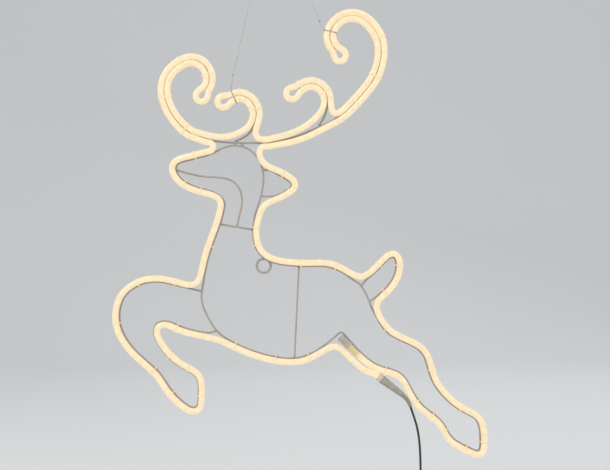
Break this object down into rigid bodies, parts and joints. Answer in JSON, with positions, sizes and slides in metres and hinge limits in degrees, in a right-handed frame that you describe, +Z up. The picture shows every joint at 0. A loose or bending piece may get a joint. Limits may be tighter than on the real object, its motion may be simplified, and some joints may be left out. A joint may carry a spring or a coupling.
{
  "type": "light-up yard reindeer",
  "caption": "Flat wire-framed reindeer outline with warm white neon flex tied to a welded frame, a hanging ring and a low-voltage lead.",
  "frame": {"origin": "centre of the hanging ring's bore, in the middle of its thickness", "axes": "+X from nose to tail, +Z up, +Y away from the viewer towards the wall"},
  "size_m": [0.7513, 0.0278, 1.0881],
  "materials": {
    "neon_silicone": "warm white translucent silicone, lit from inside",
    "cap_silicone": "greyish translucent silicone",
    "lamp_strip": "flexible lamp ribbon with warm white lamps",
    "painted_wire": "white paint on steel wire",
    "tie_nylon": "natural nylon",
    "boot_plastic": "moulded soft plastic",
    "contact_brass": "plain",
    "lead_rubber": "black, satin",
    "coil_tie_plastic": "black hook and loop strap",
    "connector_plastic": "black moulded plastic",
    "seal_rubber": "grey sealing ring",
    "nylon_line": "clear nylon"
  },
  "bodies": {
    "motif": {"antler_bridge_wire": "painted_wire", "back_wire": "painted_wire", "belly_brace": "painted_wire", "belly_wire": "painted_wire", "body_ties": "tie_nylon", "chest_wire": "painted_wire", "coil_tie": "coil_tie_plastic", "connector_body": "connector_plastic", "connector_pins": "contact_brass", "connector_seal": "seal_rubber", "ear_wire": "painted_wire", "feed_boot": "boot_plastic", "feed_collar": "cap_silicone", "feed_conductors": "contact_brass", "front_leg_ties": "tie_nylon", "front_leg_wire": "painted_wire", "hanging_ring": "painted_wire", "head_ties": "tie_nylon", "hind_leg_back_wire": "painted_wire", "hind_leg_front_wire": "painted_wire", "hind_leg_ties": "tie_nylon", "jaw_wire": "painted_wire", "lead": "lead_rubber", "lead_coil": "lead_rubber", "lead_end": "lead_rubber", "led_strip": "lamp_strip", "left_antler_ties": "tie_nylon", "left_antler_wire": "painted_wire", "left_curl_wire": "painted_wire", "left_hanging_line": "nylon_line", "muzzle_wire": "painted_wire", "neck_cross_wire": "painted_wire", "neck_wire": "painted_wire", "neon_antler_root": "neon_silicone", "neon_back": "neon_silicone", "neon_belly": "neon_silicone", "neon_ear": "neon_silicone", "neon_end_cap": "cap_silicone", "neon_front_leg": "neon_silicone", "neon_front_shin": "neon_silicone", "neon_hind_leg_back": "neon_silicone", "neon_hind_leg_front": "neon_silicone", "neon_left_antler_inner": "neon_silicone", "neon_left_antler_outer": "neon_silicone", "neon_left_curl": "neon_silicone", "neon_muzzle": "neon_silicone", "neon_neck_front": "neon_silicone", "neon_right_antler_inner": "neon_silicone", "neon_right_antler_outer": "neon_silicone", "neon_right_curl": "neon_silicone", "neon_tail": "neon_silicone", "right_antler_ties": "tie_nylon", "right_antler_wire": "painted_wire", "right_curl_wire": "painted_wire", "right_hanging_line": "nylon_line", "skull_wire": "painted_wire", "strain_relief": "boot_plastic", "tail_ties": "tie_nylon", "tail_wire": "painted_wire"},
    "collar": {"screw_collar": "connector_plastic"}
  },
  "joints": [
    {"name": "collar_spin", "type": "hinge", "parent": "motif", "child": "collar", "pos_m": [0.31153, -0.0126, -0.53888], "axis": [0, 0, -1], "continuous": true}
  ]
}
